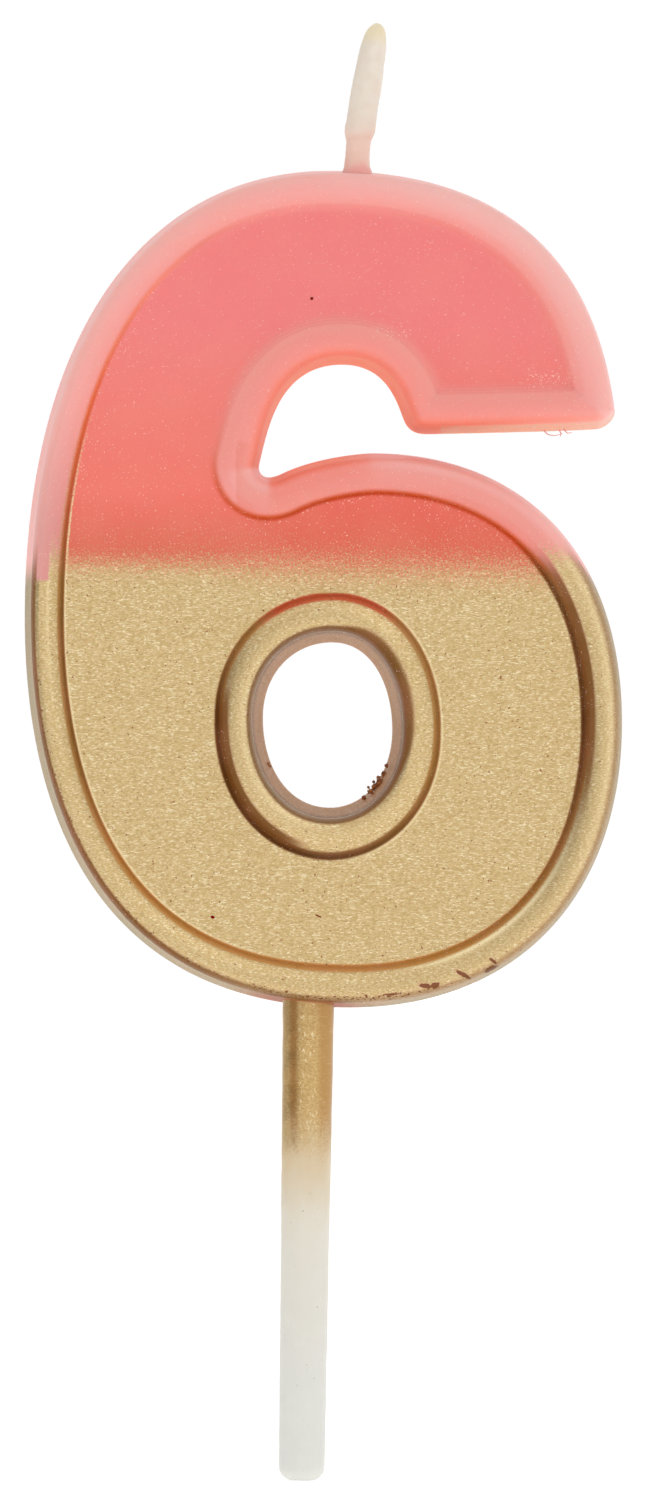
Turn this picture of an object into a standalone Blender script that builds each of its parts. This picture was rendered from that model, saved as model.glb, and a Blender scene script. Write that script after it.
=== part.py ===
"""Number candle, digit six.

A cast pink wax digit with a half-round bead around its rim and its counter, a gold lacquer film
over the lower half of its front, a plaited cotton wick with its own wax coat, and a round plastic
pick cast into the base.

Frame: +Z up, the front faces -Y, and the origin is where the pick's axis leaves the wax. The pick
and the wick both lie in the plane y = 0. Lengths below are in millimetres.
"""

import math

import bmesh
import bpy
import numpy as np
from mathutils.geometry import delaunay_2d_cdt

MM = 0.001

# Digit: depths along Y.
BACK_Y = 4.5
CREST_Y = -5.5
BEAD_RADIUS = 1.35
CREASE_Y = CREST_Y + BEAD_RADIUS
FACE_RECESS = 1.1
FACE_Y = CREST_Y + FACE_RECESS
FILLET_WIDTH = 0.6
OUTER_DRAFT = 0.5
COUNTER_DRAFT = 0.9
BEAD_STEPS = 6
CORNER_STEP_DEG = 12.0
LONGEST_CHORD = 2.2
SHORTEST_CHORD = 0.35
FINE_OUTLINE = 6
INSET_SLACK = 0.01

# Gold film: its upper edge climbs a little from left to right.
FILM_THICKNESS = 0.3
TOUCH_GAP = 0.3
FILM_EDGE_Z = 36.6
FILM_EDGE_SLOPE = 0.05
FILM_WRAP_Y = CREASE_Y + 0.9
ZONE_SIZE = 90.0

# Wick: three strands plaited round a path that leans to +X above the neck.
WICK_X = 4.0
WICK_FOOT_Z = 58.5
WICK_LEAN_Z = 71.6
WICK_LEAN = 0.165
WICK_LEAN_BLEND = 1.2
STRAND_TOP_Z = 80.4
STRAND_RADIUS = 0.15
PLAIT_HALF_WIDTH = 0.36
PLAIT_HALF_DEPTH = 0.26
PLAIT_PITCH = 4.0
PLAIT_STEPS = 12
WICK_BORE_RADIUS = 0.75
WICK_BORE_FOOT_Z = 58.0
WICK_BORE_SIDES = 16
COAT_BORE_TOP_Z = 80.8
COAT_SIDES = 18
# Wax coat on the wick: (height, radius) from the foot of its neck to its rounded tip.
COAT_PROFILE = (
    (69.95, 1.22),
    (70.4, 1.07),
    (72.0, 1.05),
    (72.7, 1.2),
    (73.5, 1.27),
    (75.7, 1.25),
    (78.2, 1.2),
    (80.2, 1.07),
    (81.3, 0.84),
    (81.9, 0.5),
    (82.1, 0.2),
)

# Pick: a tapered round stick that leans, its foot towards -X.
PICK_LENGTH = 39.3
PICK_DEPTH = 12.0
PICK_RADIUS_AT_WAX = 2.13
PICK_RADIUS_AT_FOOT = 1.9
PICK_ROUNDING = 1.0
PICK_ROUNDING_STEPS = 5
PICK_SIDES = 24
PICK_LEAN = math.radians(0.83)

# Outline of the digit at its back edge, anticlockwise seen from the front. Each knot is
# (x, z, heading in degrees, handle behind, handle ahead), joined by cubic curves.
DIGIT_KNOTS = (
    (25.6, 49.8, 97.0, 0.4, 12.6),     # arm's outer corner, upper end
    (1.7, 69.9, 180.0, 15.0, 15.1),    # top
    (-23.7, 32.6, 270.0, 24.0, 19.9),  # left
    (3.4, 0.0, 0.0, 18.5, 14.1),       # bottom
    (26.2, 23.8, 90.0, 14.5, 15.3),    # right
    (5.4, 46.3, 180.0, 11.5, 0.8),     # top of the bowl
    (-2.2, 44.6, 206.0, 3.2, 1.7),     # notch, bowl side
    (-4.1, 45.4, 76.0, 0.8, 2.7),      # notch, stroke side
    (2.8, 53.7, 0.0, 5.4, 3.9),        # top of the aperture
    (8.0, 49.0, -67.0, 1.4, 1.2),      # arm's inner corner, upper end
    (10.1, 47.9, 1.0, 0.7, 3.8),       # arm's inner corner, lower end
    (23.9, 48.3, 4.0, 2.2, 1.2),       # arm's outer corner, lower end
)

# Outline of the counter at its back edge, where it is narrowest, in the same form.
COUNTER_KNOTS = (
    (-3.8, 24.2, 270.0, 3.7, 4.3),   # left
    (1.8, 16.7, 0.0, 3.4, 2.9),      # bottom
    (7.0, 23.2, 90.0, 3.8, 3.9),     # right
    (2.0, 30.5, 180.0, 3.2, 3.3),    # top
)


def clear_scene():
    for obj in list(bpy.data.objects):
        bpy.data.objects.remove(obj, do_unlink=True)


def principled(name, colour, roughness, metallic=0.0):
    material = bpy.data.materials.new(name)
    material.use_nodes = True
    shader = material.node_tree.nodes["Principled BSDF"]
    shader.inputs["Base Color"].default_value = (*colour, 1.0)
    shader.inputs["Roughness"].default_value = roughness
    shader.inputs["Metallic"].default_value = metallic
    material.diffuse_color = (*colour, 1.0)
    return material


def add_mesh_object(name, points, faces, material=None):
    """Add a mesh object from points in millimetres."""
    mesh = bpy.data.meshes.new(name)
    mesh.from_pydata([tuple(MM * value for value in point) for point in points], [], faces)
    build = bmesh.new()
    build.from_mesh(mesh)
    bmesh.ops.recalc_face_normals(build, faces=build.faces)
    build.to_mesh(mesh)
    build.free()
    obj = bpy.data.objects.new(name, mesh)
    bpy.context.collection.objects.link(obj)
    if material is not None:
        mesh.materials.append(material)
    mesh.shade_smooth()
    mesh.set_sharp_from_angle(angle=math.radians(35.0))
    return obj


def hide_cutter(obj):
    obj.hide_render = True
    obj.display_type = "WIRE"
    return obj


def add_boolean(obj, cutter, operation="DIFFERENCE"):
    modifier = obj.modifiers.new(cutter.name, "BOOLEAN")
    modifier.operation = operation
    modifier.solver = "EXACT"
    modifier.object = cutter


def outline_points(knots, refinement=1):
    """Return the points of a knot outline, and at each the unit normal that points to its left."""
    points = []
    normals = []
    for knot, following in zip(knots, knots[1:] + knots[:1]):
        x0, z0, heading0, _, ahead = knot
        x1, z1, heading1, behind, _ = following
        turn = abs((heading1 - heading0 + 180.0) % 360.0 - 180.0)
        chord = math.hypot(x1 - x0, z1 - z0)
        steps = max(turn / CORNER_STEP_DEG, chord / LONGEST_CHORD)
        steps = refinement * max(2, round(min(steps, chord / SHORTEST_CHORD)))
        start = np.array((x0, z0))
        end = np.array((x1, z1))
        angle0 = math.radians(heading0)
        angle1 = math.radians(heading1)
        handle0 = start + ahead * np.array((math.cos(angle0), math.sin(angle0)))
        handle1 = end - behind * np.array((math.cos(angle1), math.sin(angle1)))
        for step in range(steps):
            t = step / steps
            u = 1.0 - t
            point = u**3 * start + 3 * u * u * t * handle0 + 3 * u * t * t * handle1 + t**3 * end
            slope = u * u * (handle0 - start) + 2 * u * t * (handle1 - handle0) + t * t * (end - handle1)
            slope = slope / np.hypot(*slope)
            points.append(point)
            normals.append((-slope[1], slope[0]))
    return np.array(points), np.array(normals)


def distance_to_loop(point, loop):
    start = loop
    edge = np.roll(loop, -1, axis=0) - start
    along = ((point - start) * edge).sum(axis=1) / (edge**2).sum(axis=1)
    nearest = start + np.clip(along, 0.0, 1.0)[:, None] * edge
    return np.hypot(*(point - nearest).T).min()


def clear_of_outline(points, normals, fine_outline, distance):
    """Mark the points that, moved into the wax, don't come nearer to another stretch."""
    reach = distance - INSET_SLACK
    moved = points + distance * normals
    return np.array([distance_to_loop(point, fine_outline) > reach for point in moved])


def rim_profile(draft, inset):
    """List (distance from the outline, depth y) from the crease over the bead to the flat face.

    The profile belongs to the surface that lies inset below the real one.
    """
    centre = draft + BEAD_RADIUS
    radius = BEAD_RADIUS - inset
    levels = []
    for step in range(BEAD_STEPS + 1):
        angle = math.pi * step / BEAD_STEPS
        levels.append((centre - radius * math.cos(angle), CREASE_Y - radius * math.sin(angle)))
    groove = centre + BEAD_RADIUS
    if inset > 0.0:
        levels.append((groove, CREASE_Y + inset))
    levels.append((groove + FILLET_WIDTH, FACE_Y + inset))
    return levels


def rim_levels(knots, side, draft, inset):
    """Return a rim's back loop, its crease loop, and its further loops with their depths."""
    points, normals = outline_points(knots)
    normals = side * normals
    fine_outline, _ = outline_points(knots, FINE_OUTLINE)
    profile = rim_profile(draft, inset)
    loops = []
    for distance, _ in profile:
        clear = clear_of_outline(points, normals, fine_outline, distance)
        points = points[clear]
        normals = normals[clear]
        if not loops:
            back = points + inset * normals
        loops.append(points + distance * normals)
    depths = [depth for _, depth in profile]
    return back, loops[0], list(zip(loops, depths))[1:]


def triangulate(loops):
    """Fill between nested loops of (points, y); return points and triangles in 3-D."""
    flat = []
    depths = []
    edges = []
    for loop, depth in loops:
        first = len(flat)
        flat.extend((float(x), float(z)) for x, z in loop)
        depths.extend([depth] * len(loop))
        edges.extend((first + i, first + (i + 1) % len(loop)) for i in range(len(loop)))
    found, _, triangles, sources, _, _ = delaunay_2d_cdt(flat, edges, [], 1, 1e-6)
    points = [(p[0], depths[source[0]], p[1]) for p, source in zip(found, sources)]
    return points, triangles, [source[0] for source in sources]


def front_and_back(outer, counter):
    """Triangulate the front with its bead levels and the back as a flat face."""
    outer_back, outer_crease, outer_further = outer
    counter_back, counter_crease, counter_further = counter
    front = [(outer_crease, CREASE_Y), (counter_crease, CREASE_Y)]
    front += outer_further + counter_further
    back = [(outer_back, BACK_Y), (counter_back, BACK_Y)]
    return triangulate(front), triangulate(back)


def digit_solid(name, inset=0.0, back_y=BACK_Y, material=None):
    """Add the whole digit as one closed solid, its surface moved into the wax by inset."""
    outer = rim_levels(DIGIT_KNOTS, 1.0, OUTER_DRAFT, inset)
    counter = rim_levels(COUNTER_KNOTS, -1.0, COUNTER_DRAFT, inset)
    outer_count = len(outer[0])
    rim_count = outer_count + len(counter[0])
    front, back = front_and_back(outer, counter)
    points = []
    faces = []
    rims = []
    for side, (found, triangles, sources) in enumerate((front, back)):
        first = len(points)
        depth_shift = (back_y - BACK_Y) * side
        points.extend((x, y + depth_shift, z) for x, y, z in found)
        hole = set(range(outer_count, rim_count))
        kept = [t for t in triangles if not all(sources[i] in hole for i in t)]
        faces.extend(tuple(first + i for i in t) for t in kept)
        place = {source: first + i for i, source in enumerate(sources)}
        rims.append([place[i] for i in range(rim_count)])
    for first, last in ((0, outer_count), (outer_count, rim_count)):
        for i in range(first, last):
            j = i + 1 if i + 1 < last else first
            faces.append((rims[0][i], rims[0][j], rims[1][j], rims[1][i]))
    return add_mesh_object(name, points, faces, material)


def film_zone(name, rise, wrap_y):
    """Add the slanted block that holds the gold half: its top edge, and how far back it wraps."""
    half = ZONE_SIZE / 2
    corners = []
    for y in (CREST_Y - 5.0, wrap_y):
        for x in (-half, half):
            corners.append((x, y, FILM_EDGE_Z + rise + FILM_EDGE_SLOPE * x - ZONE_SIZE))
            corners.append((x, y, FILM_EDGE_Z + rise + FILM_EDGE_SLOPE * x))
    faces = [(0, 1, 3, 2), (4, 6, 7, 5), (0, 4, 5, 1), (2, 3, 7, 6), (1, 5, 7, 3), (0, 2, 6, 4)]
    return add_mesh_object(name, corners, faces)


def wick_path_x(z):
    """The wick stands upright in the wax, then leans to +X above its neck."""
    rise = (z - WICK_LEAN_Z) / WICK_LEAN_BLEND
    return WICK_X + WICK_LEAN * WICK_LEAN_BLEND * math.log1p(math.exp(min(rise, 40.0)))


def ring(centre_x, z, radius, sides):
    angles = [2 * math.pi * i / sides for i in range(sides)]
    return [(centre_x + radius * math.cos(a), radius * math.sin(a), z) for a in angles]


def lofted_solid(name, rings, material=None):
    """Skin a stack of equal rings, and close its first and last ring with flat caps."""
    sides = len(rings[0])
    points = [point for loop in rings for point in loop]
    faces = [tuple(range(sides)), tuple(range(len(points) - sides, len(points)))]
    for level in range(len(rings) - 1):
        for i in range(sides):
            j = (i + 1) % sides
            low = level * sides
            faces.append((low + i, low + j, low + sides + j, low + sides + i))
    return add_mesh_object(name, points, faces, material)


def pick_profile(extra_radius, depth):
    """List (radius, z) of the pick, or of a hole that is extra_radius wider, foot to head."""
    slope = (PICK_RADIUS_AT_WAX - PICK_RADIUS_AT_FOOT) / PICK_LENGTH
    profile = []
    for step in range(PICK_ROUNDING_STEPS):
        angle = math.pi / 2 * step / (PICK_ROUNDING_STEPS - 1)
        shrink = PICK_ROUNDING * (1.0 - math.sin(angle))
        rise = PICK_ROUNDING * (1.0 - math.cos(angle))
        profile.append((PICK_RADIUS_AT_FOOT - shrink + extra_radius, rise - PICK_LENGTH))
    profile.append((PICK_RADIUS_AT_WAX + extra_radius, 0.0))
    profile.append((PICK_RADIUS_AT_WAX + slope * depth + extra_radius, depth))
    return profile


def lean_about_origin(obj):
    obj.rotation_euler = (0.0, PICK_LEAN, 0.0)
    return obj


def make_pick():
    plastic = principled("white_plastic", (0.84, 0.86, 0.78), 0.35)
    rings = [ring(0.0, z, radius, PICK_SIDES) for radius, z in pick_profile(0.0, PICK_DEPTH)]
    return lean_about_origin(lofted_solid("pick", rings, plastic))


def make_pick_socket():
    profile = pick_profile(TOUCH_GAP, PICK_DEPTH + TOUCH_GAP)
    rings = [ring(0.0, z, radius, PICK_SIDES) for radius, z in profile]
    return hide_cutter(lean_about_origin(lofted_solid("pick_socket_cutter", rings)))


def make_wick_channel():
    heights = (WICK_BORE_FOOT_Z, 75.0)
    rings = [ring(WICK_X, z, WICK_BORE_RADIUS, WICK_BORE_SIDES) for z in heights]
    return hide_cutter(lofted_solid("wick_channel_cutter", rings))


def make_strand(number, material):
    """One strand of a three-strand plait, a curve with a round bevel and closed ends."""
    curve = bpy.data.curves.new(f"wick_strand_{number}", "CURVE")
    curve.dimensions = "3D"
    curve.bevel_depth = STRAND_RADIUS * MM
    curve.bevel_resolution = 1
    curve.use_fill_caps = True
    turns = (STRAND_TOP_Z - WICK_FOOT_Z) / PLAIT_PITCH
    count = round(turns * PLAIT_STEPS) + 1
    spline = curve.splines.new("POLY")
    spline.points.add(count - 1)
    phase = 2 * math.pi * (number - 1) / 3
    for i, point in enumerate(spline.points):
        z = WICK_FOOT_Z + i * (STRAND_TOP_Z - WICK_FOOT_Z) / (count - 1)
        angle = 2 * math.pi * (z - WICK_FOOT_Z) / PLAIT_PITCH + phase
        x = wick_path_x(z) + PLAIT_HALF_WIDTH * math.sin(angle)
        y = PLAIT_HALF_DEPTH * math.sin(2 * angle)
        point.co = (x * MM, y * MM, z * MM, 1.0)
    curve.materials.append(material)
    obj = bpy.data.objects.new(curve.name, curve)
    bpy.context.collection.objects.link(obj)
    return obj


def make_wick_coat():
    """A wax sheath that leans with the wick, with a blind bore for the strands, open below."""
    ivory = principled("ivory_wax", (0.86, 0.82, 0.70), 0.45)
    outside = [ring(wick_path_x(z), z, radius, COAT_SIDES) for z, radius in COAT_PROFILE]
    bore_heights = (COAT_BORE_TOP_Z, 78.0, 75.0, 72.6, 71.4, COAT_PROFILE[0][0])
    inside = [ring(wick_path_x(z), z, WICK_BORE_RADIUS, COAT_SIDES) for z in bore_heights]
    coat = lofted_solid("wick_wax_coat", inside + outside, ivory)
    return coat


def make_digit():
    """The wax body and the gold film, cut from the same digit by surfaces below its front."""
    pink = principled("pink_wax", (0.89, 0.26, 0.24), 0.4)
    gold = principled("gold_lacquer", (0.66, 0.47, 0.2), 0.38, 0.85)
    body = digit_solid("wax_body", material=pink)
    film = digit_solid("gold_coat", material=gold)
    under_film = digit_solid("under_film_cutter", FILM_THICKNESS, BACK_Y + 2.0)
    under_gap = digit_solid("under_gap_cutter", FILM_THICKNESS + TOUCH_GAP, BACK_Y + 2.0)
    zone = film_zone("film_zone_cutter", 0.0, FILM_WRAP_Y)
    allowance = film_zone("film_allowance_cutter", TOUCH_GAP, FILM_WRAP_Y + TOUCH_GAP)
    add_boolean(allowance, under_gap)
    socket = make_pick_socket()
    channel = make_wick_channel()
    add_boolean(body, allowance)
    add_boolean(body, channel)
    add_boolean(body, socket)
    add_boolean(film, zone, "INTERSECT")
    add_boolean(film, under_film)
    add_boolean(film, socket)
    for cutter in (under_film, under_gap, zone, allowance):
        hide_cutter(cutter)


def main():
    clear_scene()
    make_digit()
    cotton = principled("cotton", (0.9, 0.88, 0.82), 0.9)
    for number in (1, 2, 3):
        make_strand(number, cotton)
    make_wick_coat()
    make_pick()


main()
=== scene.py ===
"""Looks of the number candle, digit six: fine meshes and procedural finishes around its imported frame.

The frame is in metres, +Z up, with the digit's front facing -Y. Lengths here are in millimetres
until a mesh is made.
"""

import math

import bmesh
import bpy
import numpy as np
from mathutils import Matrix, Vector, noise
from mathutils.geometry import delaunay_2d_cdt
from mathutils.kdtree import KDTree


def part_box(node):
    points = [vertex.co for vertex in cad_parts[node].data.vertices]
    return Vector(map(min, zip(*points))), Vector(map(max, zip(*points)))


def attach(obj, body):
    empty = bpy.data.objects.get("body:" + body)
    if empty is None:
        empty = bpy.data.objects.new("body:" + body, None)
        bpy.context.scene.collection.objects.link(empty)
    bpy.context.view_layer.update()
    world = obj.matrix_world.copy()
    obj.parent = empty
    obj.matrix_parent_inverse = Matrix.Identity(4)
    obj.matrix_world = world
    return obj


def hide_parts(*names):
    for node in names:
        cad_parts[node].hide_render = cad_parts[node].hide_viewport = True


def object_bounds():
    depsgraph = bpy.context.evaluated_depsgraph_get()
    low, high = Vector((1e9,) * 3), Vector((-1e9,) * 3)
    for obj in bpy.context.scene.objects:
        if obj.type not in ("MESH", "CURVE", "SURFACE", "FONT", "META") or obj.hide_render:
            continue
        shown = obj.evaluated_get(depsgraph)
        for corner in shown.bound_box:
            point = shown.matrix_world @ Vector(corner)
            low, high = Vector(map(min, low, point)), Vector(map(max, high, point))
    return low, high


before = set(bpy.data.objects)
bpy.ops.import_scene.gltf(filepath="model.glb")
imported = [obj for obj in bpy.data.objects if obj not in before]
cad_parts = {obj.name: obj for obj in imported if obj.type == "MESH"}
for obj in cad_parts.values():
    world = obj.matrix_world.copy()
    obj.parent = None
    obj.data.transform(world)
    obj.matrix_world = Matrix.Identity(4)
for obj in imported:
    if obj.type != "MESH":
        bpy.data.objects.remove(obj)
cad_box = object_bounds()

MM = 0.001

# Outline of the digit at its back edge, anticlockwise seen from the front. Each knot is (x, z,
# heading in degrees, handle behind, handle ahead, strength of the groove's line and of its painted
# shade, paleness painted on the bead as light falls on it, distance from the outline to the bottom
# of the groove).
DIGIT_KNOTS = (
    (25.6, 49.8, 97.0, 0.4, 12.6, 0.0, 0.5, 3.5),      # arm's outer corner, upper end
    (1.7, 69.9, 180.0, 15.0, 15.1, 0.15, 0.6, 3.3),    # top
    (-23.7, 32.6, 270.0, 24.0, 19.9, 0.9, 0.4, 3.15),  # left
    (3.4, 0.0, 0.0, 18.5, 14.1, 0.85, 0.2, 3.4),       # bottom
    (26.2, 23.8, 90.0, 14.5, 15.3, 1.0, 0.45, 3.25),   # right
    (5.4, 46.3, 180.0, 11.5, 0.8, 0.9, 0.15, 3.4),     # top of the bowl
    (-2.2, 44.6, 206.0, 3.2, 1.7, 0.9, 0.1, 3.45),     # notch, bowl side
    (-4.1, 45.4, 76.0, 0.8, 2.7, 0.4, 0.2, 3.7),       # notch, stroke side
    (2.8, 53.7, 0.0, 5.4, 3.9, 0.0, 0.1, 3.5),         # top of the aperture
    (8.0, 49.0, -67.0, 1.4, 1.2, 0.0, 0.1, 3.5),       # arm's inner corner, upper end
    (10.1, 47.9, 1.0, 0.7, 3.8, 0.0, 0.1, 3.4),        # arm's inner corner, lower end
    (23.9, 48.3, 4.0, 2.2, 1.2, 0.0, 0.25, 3.4),       # arm's outer corner, lower end
)

# Outline of the counter at its back edge, in the same form.
COUNTER_KNOTS = (
    (-3.8, 24.2, 270.0, 3.7, 4.3, 1.0, 0.0, 3.68),  # left
    (1.8, 16.7, 0.0, 3.4, 2.9, 1.0, 0.0, 4.02),     # bottom
    (7.0, 23.2, 90.0, 3.8, 3.9, 0.85, 0.0, 3.72),   # right
    (2.0, 30.5, 180.0, 3.2, 3.3, 0.75, 0.0, 3.8),   # top
)

# Section through the rim, from the crease at the side wall to the flat face. Each knot is
# (distance from the crease, height below the crest, heading in degrees, handle behind, handle ahead).
CRISP_RIM = (
    (0.0, -1.2, 76.0, 0.0, 0.5),
    (0.5, -0.16, 32.0, 0.35, 0.2),
    (0.95, 0.0, 3.0, 0.22, 0.25),
    (1.6, -0.09, -17.0, 0.3, 0.2),
    (2.2, -0.36, -30.0, 0.25, 0.15),
    (2.62, -0.66, -44.0, 0.15, 0.1),
    (2.8, -1.08, -66.0, 0.12, 0.06),
    (2.9, -1.2, 0.0, 0.05, 0.05),
    (3.06, -1.06, 40.0, 0.06, 0.06),
    (3.2, -1.01, 2.0, 0.06, 0.1),
    (3.7, -1.03, 0.0, 0.2, 0.0),
)
SOFT_RIM = (
    (0.0, -1.2, 76.0, 0.0, 0.5),
    (0.5, -0.2, 34.0, 0.35, 0.25),
    (1.2, 0.0, 0.0, 0.35, 0.5),
    (2.6, -0.62, -40.0, 0.6, 0.5),
    (3.7, -1.03, 0.0, 0.5, 0.0),
)
RIM_CREASE = -1.2
FACE_LEVEL = -1.03
GROOVE_CENTRE = 2.86
GROOVE_WIDTH = 0.36
RIDGE_CENTRE = 3.2
RIDGE_WIDTH = 0.16
SLOPE_FROM = 1.9
STEEP_TO = 0.4

OUTER_DRAFT = 0.5
OUTER_DRAFT_SWING = 0.18
COUNTER_DRAFT = 0.92
BACK_ROUNDING = 0.3
LIT_SIDE = (0.64, 0.77)
WALL_STEPS = 14
WALL_HOLLOW = 0.02

OUTLINE_CHORD = 0.38
OUTLINE_TURN = math.radians(4.0)
RIM_CHORD = 0.17
RIM_TURN = math.radians(12.0)
GRID_STEP = 0.62
DENSE_STEPS = 400
FINE_STEP = 0.05
CLEAR_SLACK = 0.015
RIM_MARGIN = 1.2


# ---- curves

def cubic(knot, following, t):
    """Points and headings of the cubic between two knots (first, second, heading, behind, ahead)."""
    start = np.array(knot[:2])
    end = np.array(following[:2])
    angles = np.radians((knot[2], following[2]))
    out = start + knot[4] * np.array((np.cos(angles[0]), np.sin(angles[0])))
    back = end - following[3] * np.array((np.cos(angles[1]), np.sin(angles[1])))
    t = t[:, None]
    u = 1.0 - t
    points = u**3 * start + 3 * u * u * t * out + 3 * u * t * t * back + t**3 * end
    slope = u * u * (out - start) + 2 * u * t * (back - out) + t * t * (end - back)
    tiny = np.hypot(*slope.T) < 1e-9
    slope[tiny] = end - start
    return points, np.arctan2(slope[:, 1], slope[:, 0])


def trace(knots, chord, turn, closed=True):
    """Sample a knot curve evenly by length and by turning; return points, headings and knot places."""
    points, headings, places = [], [], []
    pairs = list(zip(knots, knots[1:] + knots[:1])) if closed else list(zip(knots, knots[1:]))
    for index, (knot, following) in enumerate(pairs):
        last = index == len(pairs) - 1
        t = np.linspace(0.0, 1.0, DENSE_STEPS + last, endpoint=last)
        found, heading = cubic(knot, following, t)
        points.append(found)
        headings.append(heading)
        places.append(index + t)
    points = np.vstack(points)
    headings = np.unwrap(np.concatenate(headings))
    places = np.concatenate(places)
    steps = np.hypot(*np.diff(points, axis=0).T) / chord + np.abs(np.diff(headings)) / turn
    cost = np.concatenate(([0.0], np.cumsum(steps)))
    count = int(round(cost[-1])) + (not closed)
    wanted = np.linspace(0.0, cost[-1], count, endpoint=not closed)
    columns = (*points.T, headings, places)
    x, z, headings, places = (np.interp(wanted, cost, column) for column in columns)
    return np.column_stack((x, z)), headings, places


def distances_to_loop(points, tree):
    """Distance of each point to the nearest of a closely sampled outline's points."""
    return np.array([tree.find((x, z, 0.0))[2] for x, z in points])


def rise(low, high, value):
    """Smooth step from 0 at low to 1 at high."""
    t = np.clip((value - low) / (high - low), 0.0, 1.0)
    return t * t * (3.0 - 2.0 * t)


def fall(low, high, value):
    """Smooth step from 1 at low to 0 at high."""
    return 1.0 - rise(low, high, value)


def ripple(points, size, seed):
    """Smooth seeded noise in -1..1 at points of any dimension, with features about size across."""
    shift = Vector((seed * 17.3, seed * 5.1, seed * 9.7))
    return np.array([noise.noise(Vector(tuple(p) + (0.0,) * (3 - len(p))) / size + shift) for p in points])


# ---- digit

class Rim:
    """One outline of the digit with its side wall and its bead."""

    def __init__(self, knots, side, outer):
        self.points, headings, places = trace(knots, OUTLINE_CHORD, OUTLINE_TURN)
        self.normals = side * np.column_stack((-np.sin(headings), np.cos(headings)))
        rows = np.array([knot[5:] for knot in knots + knots[:1]])
        self.line, self.pale, width = (np.interp(places, range(len(rows)), row) for row in rows.T)
        # Outer rims turned to the light are painted paler.
        if outer:
            self.pale += 0.4 * rise(0.6, 1.0, -self.normals @ np.array(LIT_SIDE))
        self.fine, _, _ = trace(knots, FINE_STEP, OUTLINE_TURN)
        self.tree = KDTree(len(self.fine))
        for index, (x, z) in enumerate(self.fine):
            self.tree.insert((x, z, 0.0), index)
        self.tree.balance()
        if outer:
            self.draft = OUTER_DRAFT + OUTER_DRAFT_SWING * self.normals[:, 0]
        else:
            self.draft = np.full(len(self.points), COUNTER_DRAFT)
        self.stretch = (width - self.draft) / GROOVE_CENTRE

    def loop(self, inward, keep=None):
        keep = slice(None) if keep is None else keep
        offset = np.broadcast_to(inward, len(self.points))[keep]
        return self.points[keep] + offset[:, None] * self.normals[keep]

    def clear(self, inward):
        """Mark the points that, moved inward, don't come nearer to another stretch."""
        return distances_to_loop(self.loop(inward), self.tree) > inward - CLEAR_SLACK


def rim_sections():
    """Sample the crisp and the soft section at the same distances from the crease."""
    crisp, _, _ = trace(CRISP_RIM, RIM_CHORD, RIM_TURN, closed=False)
    soft, _, _ = trace(SOFT_RIM, RIM_CHORD / 3, RIM_TURN / 3, closed=False)
    distances = crisp[:, 0]
    return distances, crisp[:, 1], np.interp(distances, soft[:, 0], soft[:, 1])


def front_levels(rim):
    """For each level of the rim: its points, heights, distances and places on the outline."""
    distances, crisp, soft = rim_sections()
    keep = np.ones(len(rim.points), bool)
    levels = []
    for distance, crisp_height, soft_height in zip(distances, crisp, soft):
        inward = rim.draft + distance * rim.stretch
        if distance > 0.0:
            keep = keep & rim.clear(inward)
        index = np.flatnonzero(keep)
        softness = fall(0.25, 0.85, rim.line[index])
        heights = crisp_height * (1.0 - softness) + soft_height * softness
        levels.append((rim.loop(inward, index), heights, np.full(len(index), distance), index))
    return levels


def face_grid(outer, counter, edge):
    """A staggered grid of points on the flat face, clear of both rims by more than edge."""
    low = outer.points.min(axis=0)
    high = outer.points.max(axis=0)
    rows = np.arange(low[1], high[1], GRID_STEP * math.sqrt(3) / 2)
    columns = np.arange(low[0], high[0], GRID_STEP)
    grid = [(x + GRID_STEP / 2 * (row % 2), z) for row, z in enumerate(rows) for x in columns]
    grid = np.array(grid)
    inside = points_inside(grid, outer.points) & ~points_inside(grid, counter.points)
    grid = grid[inside]
    clear = distances_to_loop(grid, outer.tree) > edge
    clear &= distances_to_loop(grid, counter.tree) > edge
    return grid[clear]


def points_inside(points, loop):
    inside = np.zeros(len(points), bool)
    ends = np.roll(loop, -1, axis=0)
    for (x0, z0), (x1, z1) in zip(loop, ends):
        crosses = (z0 > points[:, 1]) != (z1 > points[:, 1])
        if z0 != z1:
            inside ^= crosses & (points[:, 0] < x0 + (points[:, 1] - z0) * (x1 - x0) / (z1 - z0))
    return inside


class Shell:
    """Collects the digit's vertices with what the finish needs to know at each of them."""

    def __init__(self):
        self.points = []
        self.faces = []
        self.facts = []

    def add_points(self, points, facts):
        first = len(self.points)
        self.points.extend(map(tuple, points))
        self.facts.extend(facts)
        return first


def at_depth(loop, y):
    """Points (x, z) made (x, y, z)."""
    return np.column_stack((loop[:, 0], np.broadcast_to(y, len(loop)), loop[:, 1]))


def band(low, high):
    """Faces between two closed rings of vertices."""
    pairs = [(i, (i + 1) % len(low)) for i in range(len(low))]
    return [(low[i], low[j], high[j], high[i]) for i, j in pairs]


def fill(loops, extra, hole_size):
    """Triangulate between closed loops, the second of them a hole, with extra loose points."""
    flat = np.vstack([*loops, extra])
    edges = []
    first = 0
    for loop in loops:
        edges.extend((first + i, first + (i + 1) % len(loop)) for i in range(len(loop)))
        first += len(loop)
    corners = [tuple(map(float, point)) for point in flat]
    found, _, triangles, sources, _, _ = delaunay_2d_cdt(corners, edges, [], 1, 1e-7)
    hole = range(len(loops[0]), len(loops[0]) + hole_size)
    origin = [source[0] if source else -1 for source in sources]
    kept = [t for t in triangles if not all(origin[i] in hole for i in t)]
    return np.array([tuple(p) for p in found]), kept, origin


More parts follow.
